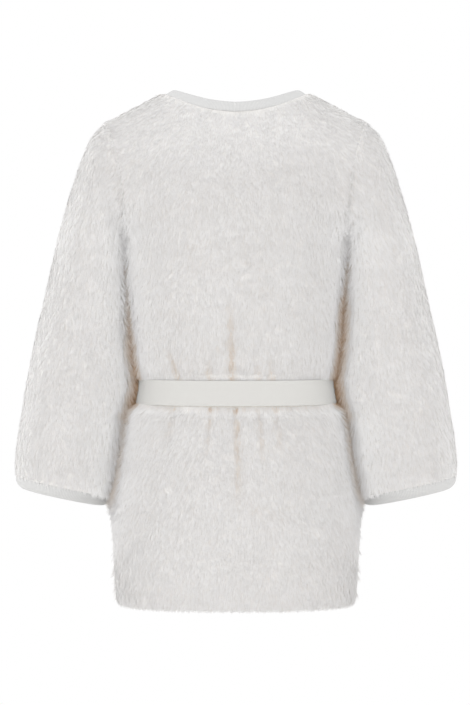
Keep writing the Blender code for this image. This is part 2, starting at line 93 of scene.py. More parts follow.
# %% Studio light
WORLD_STRENGTH = 1.0
FLOOR_HEIGHT = -1.46
FLOOR_SIZE = 6.0
GARMENT_MIDDLE = Vector((0.0, 0.0, -0.37))
Lamp = namedtuple("Lamp", "name place size power")
LAMPS = (
    Lamp("key_lamp", (1.6, 3.0, 1.3), 2.0, 12.0),
    Lamp("camera_lamp", (0.4, 3.6, -0.3), 1.2, 32.0),
    Lamp("front_lamp", (0.4, -3.6, -0.3), 1.2, 32.0),
    Lamp("top_lamp", (0.0, 0.6, 2.2), 1.8, 13.0),
    Lamp("left_lamp", (3.0, 0.6, 0.0), 1.6, 20.0),
    Lamp("right_lamp", (-3.0, 0.6, 0.0), 1.6, 20.0),
)

scene.view_settings.view_transform = "Standard"
world = bpy.data.worlds.new("white_studio")
world.use_nodes = True
world.node_tree.nodes["Background"].inputs["Color"].default_value = (1, 1, 1, 1)
world.node_tree.nodes["Background"].inputs["Strength"].default_value = WORLD_STRENGTH
scene.world = world

for lamp in LAMPS:
    softbox = bpy.data.lights.new(lamp.name, "AREA")
    softbox.size = lamp.size
    softbox.energy = lamp.power
    holder = bpy.data.objects.new(lamp.name, softbox)
    holder.location = lamp.place
    holder.rotation_euler = (GARMENT_MIDDLE - Vector(lamp.place)).to_track_quat("-Z", "Y").to_euler()
    scene.collection.objects.link(holder)
    print(f"{lamp.name}: {lamp.size} m square, {lamp.power} W")

# %% [markdown]
# ## Node helpers
#
# Every finish below is a small node tree. One function turns an sRGB hex colour into the linear values
# that shaders work with, and one adds a node, sets it and links it.


# %% Node helpers
def linear(hex_colour):
    """An sRGB hex colour as linear red, green, blue and alpha."""
    parts = [int(hex_colour[i:i + 2], 16) / 255 for i in (1, 3, 5)]
    return (*(p / 12.92 if p <= 0.04045 else ((p + 0.055) / 1.055) ** 2.4 for p in parts), 1.0)


def add_node(tree, kind, sockets=None, stops=(), **settings):
    """Adds a node, with its settings, its ramp's stops, and a value or a link for each named socket."""
    node = tree.nodes.new(kind)
    for name, value in settings.items():
        setattr(node, name, value)
    for index, (place, hex_colour) in enumerate(stops):
        ramp = node.color_ramp.elements
        stop = ramp[index] if index < 2 else ramp.new(place)
        stop.position = place
        stop.color = linear(hex_colour)
    for name, value in (sockets or {}).items():
        if isinstance(value, bpy.types.NodeSocket):
            tree.links.new(value, node.inputs[name])
        else:
            node.inputs[name].default_value = value
    return node


def new_material(name, **values):
    """A material with a Principled shader whose plain values are set by socket name."""
    material = bpy.data.materials.new(name)
    material.use_nodes = True
    shader = material.node_tree.nodes["Principled BSDF"]
    for socket, value in values.items():
        shader.inputs[socket.replace("_", " ")].default_value = value
    return material, material.node_tree, shader


# %% [markdown]
# ## Floor
#
# A matt painted studio floor: nearly white, with faint uneven brightness so that it isn't one flat tone.

# %% Floor
FLOOR_MOTTLE = 180 * MM

floor_paint, tree, shader = new_material("matt_floor_paint", Roughness=0.85, IOR=1.5)
place = add_node(tree, "ShaderNodeTexCoord")
mottle = add_node(
    tree, "ShaderNodeTexNoise", {"Vector": place.outputs["Object"], "Scale": 1 / FLOOR_MOTTLE}
)
paint = add_node(
    tree,
    "ShaderNodeValToRGB",
    {"Fac": mottle.outputs["Fac"]},
    stops=((0.3, "#F1F0EE"), (0.7, "#F6F5F4")),
)
tree.links.new(paint.outputs["Color"], shader.inputs["Base Color"])

shape = bmesh.new()
bmesh.ops.create_grid(shape, x_segments=1, y_segments=1, size=FLOOR_SIZE / 2)
bmesh.ops.translate(shape, vec=(0, 0, FLOOR_HEIGHT), verts=shape.verts)
floor = bpy.data.objects.new("floor", bpy.data.meshes.new("floor"))
shape.to_mesh(floor.data)
shape.free()
floor.data.materials.append(floor_paint)
scene.collection.objects.link(floor)
print("floor at", FLOOR_HEIGHT)

# %% [markdown]
# ## Fur finishes
#
# White fur is keratin: clear hairs, refractive index about 1.55, that scatter light like a soft white
# powder and turn warm and tan where it is trapped between them. Each hair carries two numbers in its UV
# map: across, its tone from tan to white, and along, the way from root to tip. The picture reads the
# colour from that map alone.

# %% Fur finishes
HAIR_MAP = "OFBake"
UNDERFUR_GRAIN = 2.5 * MM
BACKING_STITCH = 2.0 * MM

fur_hair, tree, shader = new_material(
    "white_fur_hair", Roughness=0.7, IOR=1.55, Specular_IOR_Level=0.25, Sheen_Weight=0.15
)
place = add_node(tree, "ShaderNodeUVMap", uv_map=HAIR_MAP)
split = add_node(tree, "ShaderNodeSeparateXYZ", {"Vector": place.outputs["UV"]})
# The ramp's tan and brown end is painted shade for folds and creases; its top end is painted light
tone = add_node(
    tree,
    "ShaderNodeValToRGB",
    {"Fac": split.outputs["X"]},
    stops=((0.0, "#7A5230"), (1.0, "#F6F6F6"), (0.25, "#B8987A"), (0.45, "#CEC5BC"), (0.6, "#D6D5D5")),
)
depth = add_node(
    tree,
    "ShaderNodeValToRGB",
    {"Fac": split.outputs["Y"]},
    stops=((0.0, "#F3F0EC"), (0.7, "#FFFFFF"), (0.3, "#FBFAF8")),
)
tint = add_node(
    tree,
    "ShaderNodeMix",
    {"Factor": 1.0, "A": tone.outputs["Color"], "B": depth.outputs["Color"]},
    data_type="RGBA",
    blend_type="MULTIPLY",
)
tree.links.new(tint.outputs["Result"], shader.inputs["Base Color"])

underfur, tree, shader = new_material("woolly_underfur", Roughness=0.95, IOR=1.55)
place = add_node(tree, "ShaderNodeTexCoord")
grain = add_node(
    tree,
    "ShaderNodeTexNoise",
    {"Vector": place.outputs["Object"], "Scale": 1 / UNDERFUR_GRAIN, "Detail": 3.0},
)
wool = add_node(
    tree,
    "ShaderNodeValToRGB",
    {"Fac": grain.outputs["Fac"]},
    stops=((0.3, "#C7C5C3"), (0.7, "#CFCDCB")),
)
tree.links.new(wool.outputs["Color"], shader.inputs["Base Color"])

backing, tree, shader = new_material("knitted_backing", Roughness=0.9, IOR=1.53)
place = add_node(tree, "ShaderNodeTexCoord")
stitch = add_node(
    tree,
    "ShaderNodeTexVoronoi",
    {"Vector": place.outputs["Object"], "Scale": 1 / BACKING_STITCH},
)
knit = add_node(
    tree,
    "ShaderNodeValToRGB",
    {"Fac": stitch.outputs["Distance"]},
    stops=((0.1, "#DEDAD4"), (0.9, "#CBC5BC")),
)
bump = add_node(
    tree,
    "ShaderNodeBump",
    {"Height": stitch.outputs["Distance"], "Strength": 0.5, "Distance": 0.4 * MM},
)
tree.links.new(knit.outputs["Color"], shader.inputs["Base Color"])
tree.links.new(bump.outputs["Normal"], shader.inputs["Normal"])
print("fur finishes:", fur_hair.name, underfur.name, backing.name)

# %% [markdown]
# ## Band and belt finishes
#
# The bands are fine cotton rib and the belt a canvas-woven cotton braid, refractive index about 1.53.
# Both read a map in metres, laid on each piece further down: the way along the band and the way across it.

# %% Band and belt finishes
THREAD_MAP = "thread_map"
RIB_PITCH = 2.4 * MM  # coarser than a real fine rib
BELT_WIDTH = 36 * MM
BELT_THREAD = 1.1 * MM  # coarser than the real yarn, which is too fine to draw
SELVEDGE = (0.91, 0.95)  # where the close edge starts and is full, in shares of half the belt's width
WAVE_TURN = math.pi / 10  # a wave texture turns 20 radians for each unit at scale 1

rib_knit, tree, shader = new_material("rib_knit_cotton", Roughness=0.9, IOR=1.53, Sheen_Weight=0.2)
place = add_node(tree, "ShaderNodeUVMap", uv_map=THREAD_MAP)
ribs = add_node(
    tree,
    "ShaderNodeTexWave",
    {"Vector": place.outputs["UV"], "Scale": WAVE_TURN / RIB_PITCH, "Distortion": 0.6},
    bands_direction="X",
)
knit = add_node(
    tree,
    "ShaderNodeValToRGB",
    {"Fac": ribs.outputs["Fac"]},
    stops=((0.0, "#AFAFAF"), (1.0, "#C2C2C1")),
)
bump = add_node(
    tree,
    "ShaderNodeBump",
    {"Height": ribs.outputs["Fac"], "Strength": 0.35, "Distance": 0.5 * MM},
)
tree.links.new(knit.outputs["Color"], shader.inputs["Base Color"])
tree.links.new(bump.outputs["Normal"], shader.inputs["Normal"])

belting, tree, shader = new_material("canvas_woven_braid", Roughness=0.85, IOR=1.53, Sheen_Weight=0.1)
place = add_node(tree, "ShaderNodeUVMap", uv_map=THREAD_MAP)
split = add_node(tree, "ShaderNodeSeparateXYZ", {"Vector": place.outputs["UV"]})
warp, weft = (
    add_node(
        tree,
        "ShaderNodeTexWave",
        {
            "Vector": place.outputs["UV"],
            "Scale": WAVE_TURN / BELT_THREAD,
            "Distortion": 1.2,
            "Detail Scale": 2.0,
        },
        bands_direction=way,
    )
    for way in "XY"
)
weave = add_node(
    tree,
    "ShaderNodeMath",
    {0: warp.outputs["Fac"], 1: weft.outputs["Fac"]},
    operation="MULTIPLY",
)
cloth = add_node(
    tree,
    "ShaderNodeValToRGB",
    {"Fac": weave.outputs["Value"]},
    stops=((0.0, "#ADACA9"), (0.6, "#D0CFCC")),
)
across = add_node(tree, "ShaderNodeMath", {0: split.outputs["Y"]}, operation="ABSOLUTE")
edge = add_node(
    tree,
    "ShaderNodeMapRange",
    {
        "Value": across.outputs["Value"],
        "From Min": SELVEDGE[0] * BELT_WIDTH / 2,
        "From Max": SELVEDGE[1] * BELT_WIDTH / 2,
    },
)
edged = add_node(
    tree,
    "ShaderNodeMix",
    {"Factor": edge.outputs["Result"], "A": cloth.outputs["Color"], "B": linear("#C0BFBC")},
    data_type="RGBA",
)
bump = add_node(
    tree,
    "ShaderNodeBump",
    {"Height": weave.outputs["Value"], "Strength": 0.4, "Distance": 0.3 * MM},
)
tree.links.new(edged.outputs["Result"], shader.inputs["Base Color"])
tree.links.new(bump.outputs["Normal"], shader.inputs["Normal"])
print("band finishes:", rib_knit.name, belting.name)

# %% [markdown]
# ## Where things are
#
# The solids give the form to the tips of the fur. A few measures of them are used again and again: which
# way is out of a panel, how far a point lies above the belt, and how close sleeve and body come, which is
# where the creases between them are, dark with shade and with painted shade.

# %% Where things are
BODY_NODES = (
    "back_bodice",
    "back_skirt",
    "front_left_bodice",
    "front_left_skirt",
    "front_right_bodice",
    "front_right_skirt",
)
SLEEVE_NODES = ("sleeve_left", "sleeve_right")
BELT_NODES = ("belt", "belt_knot", "belt_end_left", "belt_end_right")
BAND_NODES = ("neck_band", "cuff_left", "cuff_right")
CHEST_HEIGHT = -0.16
ARMHOLE_MIDDLE = Vector((0.172, 0.0, -0.125))
CUFF_MIDDLE = Vector((0.249, -0.013, -0.563))
CUFF_SEAM_OUT = np.array([0.3230, 0.0, -0.5475])
CUFF_SEAM_IN = np.array([0.1745, 0.0, -0.5790])
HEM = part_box("back_skirt")[0].z
BELT_LOW, BELT_HIGH = (corner.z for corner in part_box("belt"))
BELT_MIDDLE = (BELT_LOW + BELT_HIGH) / 2
BELT_DIP = 3 * MM
BELT_HALF = (BELT_HIGH - BELT_LOW) / 2 - BELT_DIP
BELT_DEPTH = 0.105
# How far apart sleeve and body are where the fold between them is deep, where its hairs stand up, where
# they get painted shade, where hair and backing fill it, and as far as it turns the light
FOLD_DEEP, FOLD_MOUTH = 4 * MM, 21 * MM
FOLD_DARK = 28 * MM
FOLD_FILL = 45 * MM
FOLD_SHADE = 100 * MM
# The heights where the folds start and are whole, and where the painted shade of the left and the right one
# is darkest
FOLD_START, FOLD_FULL = -0.150, -0.205
FOLD_DARK_FULL = (-0.355, -0.310)
# How much fur is lit as if turned to the back or front, and how much less where it faces up
SOFT_LIGHT = np.array([0.0, 1.7, 0.0])
SOFT_SLOPES, SOFT_SHARES = (0.8, 1.0), (1.0, 0.7)


def side_of(node):
    return -1 if "right" in node else 1


def tree_of(nodes):
    """A search tree over the solids of some nodes."""
    shape = bmesh.new()
    for node in nodes:
        shape.from_mesh(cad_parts[node].data)
    tree = BVHTree.FromBMesh(shape)
    shape.free()
    return tree


TREES = {
    "neck": tree_of(BAND_NODES[:1]),
    "bands": tree_of(BAND_NODES),
    "back": tree_of(("back_bodice", "back_skirt")),
    "body": tree_of((*BODY_NODES, "belt")),
    "sleeves": tree_of(SLEEVE_NODES),
    "furs": tree_of((*BODY_NODES, *SLEEVE_NODES)),
}


def sleeve_axis(node):
    """The start of a sleeve's middle line and the way along it, as long as the sleeve."""
    mirror = Vector((side_of(node), 1, 1))
    start = ARMHOLE_MIDDLE * mirror
    return start, CUFF_MIDDLE * mirror - start


def cuff_plane(node):
    """A point of a cuff seam's outer end, the way along the seam inward, and the way out of the sleeve."""
    mirror = np.array([side_of(node), 1, 1])
    seam = unit((CUFF_SEAM_IN - CUFF_SEAM_OUT) * mirror)
    down = np.cross(seam, (0, 1, 0))
    return CUFF_SEAM_OUT * mirror, seam, down * -np.sign(down[2])


def way_out(node, place):
    """The way from the middle of a body or sleeve to a point of its wall."""
    if node in SLEEVE_NODES:
        start, along = sleeve_axis(node)
        share = (place - start).dot(along) / along.length_squared
        return (place - start - along * share).normalized()
    return (place - Vector((0, 0, min(place.z, CHEST_HEIGHT)))).normalized()


def above_belt(places):
    """How far each point lies above the belt's middle line, which dips a little at the back."""
    return places[:, 2] - BELT_MIDDLE + BELT_DIP * np.clip(places[:, 1] / BELT_DEPTH, -1, 1)


def fold_closeness(node, places, deep, mouth):
    """How close sleeve and body come at a point of either: 0 where they are a mouth apart, 1 if a deep."""
    others = TREES["body"] if node in SLEEVE_NODES else TREES["sleeves"]
    far = np.array([(others.find_nearest(place, mouth)[3] or mouth) for place in places])
    low = np.clip((FOLD_START - places[:, 2]) / (FOLD_START - FOLD_FULL), 0, 1)
    return np.clip((mouth - far) / (mouth - deep), 0, 1) * low


def fold_lowness(places):
    """From 0 at the top of the folds to 1 where their painted shade is darkest and they are most open."""
    full = np.where(places[:, 0] > 0, *FOLD_DARK_FULL)
    return np.clip((FOLD_START - places[:, 2]) / (FOLD_START - full), 0, 1) ** 2


def unit(vectors):
    return vectors / np.maximum(np.linalg.norm(vectors, axis=-1, keepdims=True), 1e-12)


def mouth_way(places):
    """The way to the mouth of a fold between sleeve and body: behind, or in front for what is in front."""
    return np.sign(places[:, 1:2]) * (0, 1, 0)


def turned_to_mouth(node, places, normals):
    """Normals that turn toward the mouth of a fold near it."""
    shade = fold_closeness(node, places, FOLD_MOUTH, FOLD_SHADE)[:, None]
    return unit(normals * (1 - shade) + mouth_way(places) * shade)


def softened(node, places, normals):
    """Normals to shade fur with: it spreads light, so its sides are lit as if turned to back or front."""
    sideways = np.interp(normals[:, 2:], SOFT_SLOPES, SOFT_SHARES)
    return turned_to_mouth(node, places, unit(normals * (1 + sideways * SOFT_LIGHT)))


print(f"belt {BELT_HALF * 2000:.0f} mm wide, hem at {HEM:.4f} m")

# %% [markdown]
# ## Creases
#
# The belt gathers the pelt into uneven creases, each listed with where it meets the belt, where it
# fades, how deep and how wide it is. The fronts can't be seen, and have similar ones.

# %% Creases
CREASE_SINK = 0.8 * MM
CREASE_UNDER = 3 * MM
Crease = namedtuple("Crease", "x_at_belt x_at_end run depth width")
BACK_ABOVE = (
    Crease(0.0050, 0.0095, 0.125, 0.90, 0.0056),
    Crease(0.0800, 0.0960, 0.048, 0.95, 0.0046),
    Crease(0.0355, 0.0390, 0.032, 0.80, 0.0048),
    Crease(-0.0320, -0.0310, 0.030, 0.70, 0.0048),
    Crease(-0.0515, -0.0480, 0.040, 0.60, 0.0054),
)
BACK_BELOW = (
    Crease(-0.0005, -0.0035, 0.135, 0.85, 0.0052),
    Crease(0.0880, 0.0950, 0.050, 0.50, 0.0045),
    Crease(0.0360, 0.0395, 0.068, 0.65, 0.0042),
    Crease(-0.0310, -0.0375, 0.078, 0.75, 0.0040),
    Crease(-0.0550, -0.0620, 0.062, 0.55, 0.0042),
)
FRONT_ABOVE = (
    Crease(0.036, 0.033, 0.060, 0.60, 0.0040),
    Crease(0.064, 0.060, 0.095, 0.80, 0.0036),
    Crease(-0.040, -0.037, 0.075, 0.75, 0.0036),
    Crease(-0.068, -0.066, 0.055, 0.55, 0.0042),
)
FRONT_BELOW = (
    Crease(0.036, 0.041, 0.080, 0.55, 0.0045),
    Crease(0.096, 0.104, 0.070, 0.50, 0.0045),
    Crease(-0.036, -0.040, 0.060, 0.50, 0.0045),
    Crease(-0.064, -0.070, 0.090, 0.65, 0.0042),
)


def crease_depth(places):
    """From 0 to 1, how deep each point lies in a crease of the back or of the fronts."""
    x, y, _ = places.T
    away = above_belt(places)
    deep = np.zeros(len(places))
    for above, below, here in ((BACK_ABOVE, BACK_BELOW, y > 0), (FRONT_ABOVE, FRONT_BELOW, y <= 0)):
        for creases, far in ((above, away - BELT_HALF), (below, -away - BELT_HALF)):
            for crease in creases:
                share = np.clip(far / crease.run, 0, 1)
                middle = crease.x_at_belt + (crease.x_at_end - crease.x_at_belt) * share
                fade = np.sqrt(1 - share) * (far > -CREASE_UNDER) * here
                hollow = np.exp(-(((x - middle) / crease.width) ** 2))
                deep = np.maximum(deep, crease.depth * fade * hollow)
    return deep


print(len(BACK_ABOVE + BACK_BELOW), "creases behind,", len(FRONT_ABOVE + FRONT_BELOW), "in front")

# %% [markdown]
# ## The backing under the fur
#
# Each panel's solid reaches to the tips of the fur. The backing that carries the hairs is the same form
# with its outer face let down by the depth of the pile, less where a panel meets a band or another panel.
# A merged copy of the solid gives that: its outer faces are found, their corners are moved in along their
# own normals, a subdivision rounds the result and the creases are pressed in. Faces that lie against a
# neighbour, in a seam or under the belt, grow no hair. In the folds between sleeve and body the backings
# swell toward each other, so that their hairs meet.

# %% Copies of the solids
WELD = 0.01 * MM
JOIN_FACES, JOIN_SHAPES = math.radians(40), math.radians(60)


def merged(node):
    """A copy of a solid whose loose triangles are joined into a skin of four-sided faces."""
    shape = bmesh.new()
    shape.from_mesh(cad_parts[node].data)
    bmesh.ops.remove_doubles(shape, verts=shape.verts, dist=WELD)
    bmesh.ops.join_triangles(
        shape,
        faces=shape.faces,
        angle_face_threshold=JOIN_FACES,
        angle_shape_threshold=JOIN_SHAPES,
    )
    return shape


def finished(name, shape, materials, levels):
    """A smooth object from a bmesh, with its subdivision applied."""
    rough = bpy.data.meshes.new(name)
    shape.to_mesh(rough)
    shape.free()
    holder = bpy.data.objects.new(name, rough)
    scene.collection.objects.link(holder)
    if "custom_normal" in rough.attributes:
        rough.attributes.remove(rough.attributes["custom_normal"])
    rounding = holder.modifiers.new("rounding", "SUBSURF")
    rounding.levels = levels
    rounding.render_levels = levels
    graph = bpy.context.evaluated_depsgraph_get()
    holder.data = bpy.data.meshes.new_from_object(holder.evaluated_get(graph))
    holder.modifiers.clear()
    holder.data.name = name
    bpy.data.meshes.remove(rough)
    for material in materials:
        holder.data.materials.append(material)
    holder.data.shade_smooth()
    return holder


def points_of(mesh):
    """The places and normals of a mesh's vertices."""
    places = np.empty((len(mesh.vertices), 3))
    normals = np.empty((len(mesh.vertices), 3))
    mesh.vertices.foreach_get("co", places.ravel())
    mesh.vertices.foreach_get("normal", normals.ravel())
    return places, normals


def half_skin(piece):
    """Half the surface of a closed thin piece, in square metres."""
    return sum(face.area for face in piece.data.polygons) / 2


# %% Make the backings
PILE = 2.4 * MM
FOLD_PILE = 0.4 * MM
FOLD_SWELL, SWELL_BEND, SWELL_LESS = 0.45, 0.6, 0.4
CUFF_PILE = 1.2 * MM
CUFF_TAPER = 25 * MM
ARMHOLE_PILE = 0.2 * MM
ARMHOLE_TAPER = 30 * MM
SEAM_REACH = 2.0 * MM
OUTER_SLOPE, INNER_SLOPE = 0.15, -0.45
FACE_CLEAR = 0.02 * MM
SEAM_UNDER = 1.0 * MM
SEWN_TO = {
    "sleeve_left": ("body",),
    "sleeve_right": ("body",),
    "back_bodice": ("sleeves", "neck"),
    "back_skirt": (),
    "front_left_bodice": ("back", "sleeves", "neck"),
    "front_right_bodice": ("back", "sleeves", "neck"),
    "front_left_skirt": ("back",),
    "front_right_skirt": ("back",),
}
FRONT_EDGE, FRONT_SHUT = 3.0 * MM, 0.3 * MM
HEM_TUCK = 3.0 * MM
BELT_TUCK = 3 * MM
BELT_EASE_AT = np.array([0, 2, 8.5, 17, 31, 60]) * MM
BELT_EASE = np.array([0, -0.6, 2.0, 3.0, 1.8, 0]) * MM
GROWS, PLAIN, BARE = 0, 1, 2
FINE, COARSE = 2, 1


def draw_shut(node, vert):
    """Moves a corner beside a seam over the seam's gap, a little way under the neighbouring panel."""
    for neighbour in SEWN_TO[node]:
        near, _, _, far = TREES[neighbour].find_nearest(vert.co, SEAM_REACH + PILE)
        if near is not None and (vert.co.z > FOLD_FULL or neighbour == "back"):
            vert.co += (near - vert.co).normalized() * (far + SEAM_UNDER)
    if node.startswith("front") and abs(vert.co.x) < FRONT_EDGE:
        vert.co.x = FRONT_SHUT * side_of(node)


def outer_faces(node, shape):
    """The faces of a panel that hair may grow on; each face's material is set by what it is."""
    seams = tree_of([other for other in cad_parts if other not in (node, *BELT_NODES)])
    outer = set()
    for face in shape.faces:
        middle = face.calc_center_median()
        start = middle + face.normal * FACE_CLEAR
        faces_out = face.normal.dot(way_out(node, middle)) > OUTER_SLOPE
        if node in BODY_NODES:
            faces_out = faces_out and face.normal.xy.dot(middle.xy.normalized()) > INNER_SLOPE
        in_seam = seams.ray_cast(start, face.normal, SEAM_REACH)[0] is not None and middle.z > FOLD_FULL
        by_neck = TREES["neck"].ray_cast(start, face.normal, SEAM_REACH)[0] is not None
        under_belt = node in BODY_NODES and abs(above_belt(np.array([middle]))[0]) < BELT_HALF - BELT_TUCK
        if faces_out and not in_seam:
            outer.add(face)
        grows = faces_out and not in_seam and not under_belt
        face.material_index = GROWS if grows else BARE if by_neck else PLAIN
    return outer


def backing_of(node):
    """The backing of one fur panel; its first material marks where hair grows."""
    shape = merged(node)
    outer = outer_faces(node, shape)
    crease = shape.edges.layers.float.new("crease_edge")
    for edge in shape.edges:
        if len({face in outer for face in edge.link_faces}) == 2:
            edge[crease] = 1.0
    skin = [vert for vert in shape.verts if any(face in outer for face in vert.link_faces)]
    corners = np.array([vert.co for vert in skin])
    folds = fold_closeness(node, corners, FOLD_DEEP, FOLD_MOUTH)
    if node in BODY_NODES:
        folds = np.maximum(folds, crease_depth(corners))
    fills = fold_closeness(node, corners, FOLD_DEEP, FOLD_FILL)
    gaps = FOLD_FILL - fills * (FOLD_FILL - FOLD_DEEP)
    swells = FOLD_SWELL * gaps * fills**SWELL_BEND * (1 - SWELL_LESS * fold_lowness(corners))
    moves = []
    for vert, fold, swell in zip(skin, folds, swells):
        out = sum((face.normal * face.calc_area() for face in vert.link_faces if face in outer), Vector())
        sink = PILE + (FOLD_PILE - PILE) * fold - swell
        if node in SLEEVE_NODES:
            to_band = TREES["bands"].find_nearest(vert.co)[3]
            to_body = TREES["body"].find_nearest(vert.co)[3] if vert.co.z > FOLD_FULL else ARMHOLE_TAPER
            by_band = CUFF_PILE + (PILE - CUFF_PILE) * to_band / CUFF_TAPER
            by_body = ARMHOLE_PILE + (PILE - ARMHOLE_PILE) * to_body / ARMHOLE_TAPER
            sink = min(sink, by_band, by_body)
        out.normalize()
        away = abs(above_belt(np.array([vert.co]))[0]) - BELT_HALF
        eased = np.interp(away, BELT_EASE_AT, BELT_EASE) * out.y**2 * (node in BODY_NODES)
        moves.append(out * (sink + eased))
    for vert, move in zip(skin, moves):
        vert.co -= move
    for vert in shape.verts:
        vert.co.z = max(vert.co.z, HEM + HEM_TUCK)
        draw_shut(node, vert)
    levels = FINE if node.startswith("back") else COARSE
    piece = finished(f"backing_{node}", shape, [underfur, backing, underfur], levels)
    if node in BODY_NODES:
        places, normals = points_of(piece.data)
        faces_out = (normals * mouth_way(places)).sum(axis=1) > 0
        sink = CREASE_SINK * crease_depth(places) * faces_out
        piece.data.vertices.foreach_set("co", (places - normals * sink[:, None]).ravel())
        piece.data.update()
    return piece


backings = {node: backing_of(node) for node in (*BODY_NODES, *SLEEVE_NODES)}
for node, piece in backings.items():
    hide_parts(node)
    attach(piece, "root")
    print(f"{piece.name}: {len(piece.data.polygons)} faces, {half_skin(piece):.4f} square metres")

# %% [markdown]
# ## Where the fur lies
#
# Fur has a nap. Here it runs down the body and along the sleeves, fans out under the belt and over the
# shoulders, swirls below the neck band, leans over the seams at the sides and in front, and leans into the
# folds between sleeve and body.

# %% Nap
PLAIN_FAN, BELT_FAN, SHOULDER_FAN = 0.5, 2.6, 2.2
BELT_FAN_FADE = 100 * MM
SHOULDER_FAN_AT = (-0.20, -0.05)
BESIDE_AT, BESIDE_PULL = (-0.02, 0.03), 0.35
NECK_REACH, NECK_PUSH = 9 * MM, 2.0
SEAM_LAP, SEAM_PUSH = 30 * MM, 0.6
FRONT_LAP, FRONT_PULL = 16 * MM, 1.7
SIDE_LAP, SIDE_PULL, SIDE_SLOPE = 14 * MM, 0.9, 0.5
FILL_PULL = 0.4
SWIRL_AT, SWIRL_HALF = (-0.085, -0.045), 0.10
# How far the nap turns, in radians, from one wide or narrow patch or lock to the next
WIDE_PATCH, WIDE_TURN = 60 * MM, 0.25
NARROW_PATCH, NARROW_TURN, SWIRL_TURN = 18 * MM, 0.28, 0.45
LOCK_TURN = 0.10
NOISE_SHIFTS = (7.1, 3.7, 5.3)


def wander(places, size, seed):
    """Smooth noise from -1 to 1 at each place, with bumps of about a size."""
    shift = Vector([seed * step for step in NOISE_SHIFTS])
    return np.array([noise.noise(Vector(place) / size + shift) for place in places])


def body_flow(places):
    """The way the nap runs on the body, before it is laid on the surface."""
    x, _, z = places.T
    below = np.maximum(BELT_MIDDLE - z, 0)
    under_belt = np.exp(-below / BELT_FAN_FADE) * (below > 0)
    shoulder = np.interp(z, SHOULDER_FAN_AT, (0, 1))
    fan = PLAIN_FAN + BELT_FAN * under_belt + SHOULDER_FAN * shoulder
    return np.stack([x * fan, 0 * x, np.full(len(x), -1.0)], axis=-1)


def over_seam(neighbours, places, reach):
    """The way from each place over the seam to its neighbours, from 0 long at a reach to 1 at the seam."""
    ways = np.zeros(places.shape)
    for way, place in zip(ways, places):
        near, _, _, far = TREES[neighbours].find_nearest(place, reach)
        if near is not None:
            way[:] = (near - Vector(place)).normalized() * (1 - far / reach)
    return ways


def sleeve_flow(node, places):
    """The way the nap runs on a sleeve: along it, and inward on the side next to the body."""
    start, along = sleeve_axis(node)
    way = np.array(along.normalized())
    inward = np.array([-side_of(node), 0, 0])
    beside = np.interp((places - np.array(start)) @ inward, BESIDE_AT, (0, 1))
    beside *= np.interp(places[:, 2], (FOLD_FULL, FOLD_START), (1, 0))
    return way + BESIDE_PULL * beside[:, None] * inward


def along_surface(flow, normals):
    """Ways laid on the surface, one long."""
    return unit(flow - (flow * normals).sum(axis=1, keepdims=True) * normals)


def nap(node, seed, spots, chance):
    """The way the locks of a panel lie."""
    places, normals = spots.places, spots.normals
    if node in SLEEVE_NODES:
        flow = sleeve_flow(node, places)
        swirl = np.zeros(len(places))
    else:
        flow = body_flow(places)
        by_side = np.clip(1 - np.abs(places[:, 1]) / SIDE_LAP, 0, 1) * (np.abs(normals[:, 0]) > SIDE_SLOPE)
        flow[:, 1] -= np.sign(places[:, 1]) * SIDE_PULL * by_side
        swirl = np.interp(places[:, 2], SWIRL_AT, (0, 1)) * (np.abs(places[:, 0]) < SWIRL_HALF)
    if node.startswith("front"):
        by_front = np.clip(1 - np.abs(places[:, 0]) / FRONT_LAP, 0, 1)
        flow[:, 0] -= side_of(node) * FRONT_PULL * by_front
    flow[:, 0] += np.sign(places[:, 0]) * SEAM_PUSH * spots.by_armhole
    by_neck = over_seam("neck", places, NECK_REACH)
    flow -= NECK_PUSH * by_neck
    flow += FILL_PULL * spots.fill[:, None] * mouth_way(places)
    turn = WIDE_TURN * wander(places, WIDE_PATCH, seed)
    turn += (NARROW_TURN + SWIRL_TURN * swirl) * wander(places, NARROW_PATCH, seed + 1)
    turn += chance.normal(0, LOCK_TURN, len(places))
    turn *= 1 - np.linalg.norm(by_neck, axis=1)
    along = along_surface(flow, normals)
    return along * np.cos(turn)[:, None] + np.cross(normals, along) * np.sin(turn)[:, None]


# %% [markdown]
# ## Growing the fur
#
# Hairs stand in locks: some grow from a small round of skin and draw together toward one tip. That is how
# real fur breaks into soft spikes. A particle system would hide those choices, so the locks are laid out
# with arrays: points spread over the backing, closer in the folds, a nap direction for each, some hairs a
# lock, one thin triangle a hair, all joined into one mesh for each panel.

# %% Growing the fur
Pile = namedtuple("Pile", "length rise width spread gather locks hairs sunk")
# The rise is in degrees, the locks are those of a square metre. Real hairs are thinner and many more.
FUR_PILE = Pile(
    length=11.5 * MM,
    rise=14.0,
    width=0.68 * MM,
    spread=2.6 * MM,
    gather=0.4,
    locks=82500,
    hairs=9,
    sunk=0.3 * MM,
)
FOLD_CROWD = 0.6
RISE_STRAY = 2.0
TIP_STRAY = 0.4 * MM
LOCK_LENGTHS, HAIR_LENGTHS = (0.92, 1.06), (0.7, 1.08)
HAIR_WIDTHS = (0.7, 1.2)
SHORTEST = 0.25
TIP_RISE = 0.6 * MM
TONE_WIDTH = 0.02


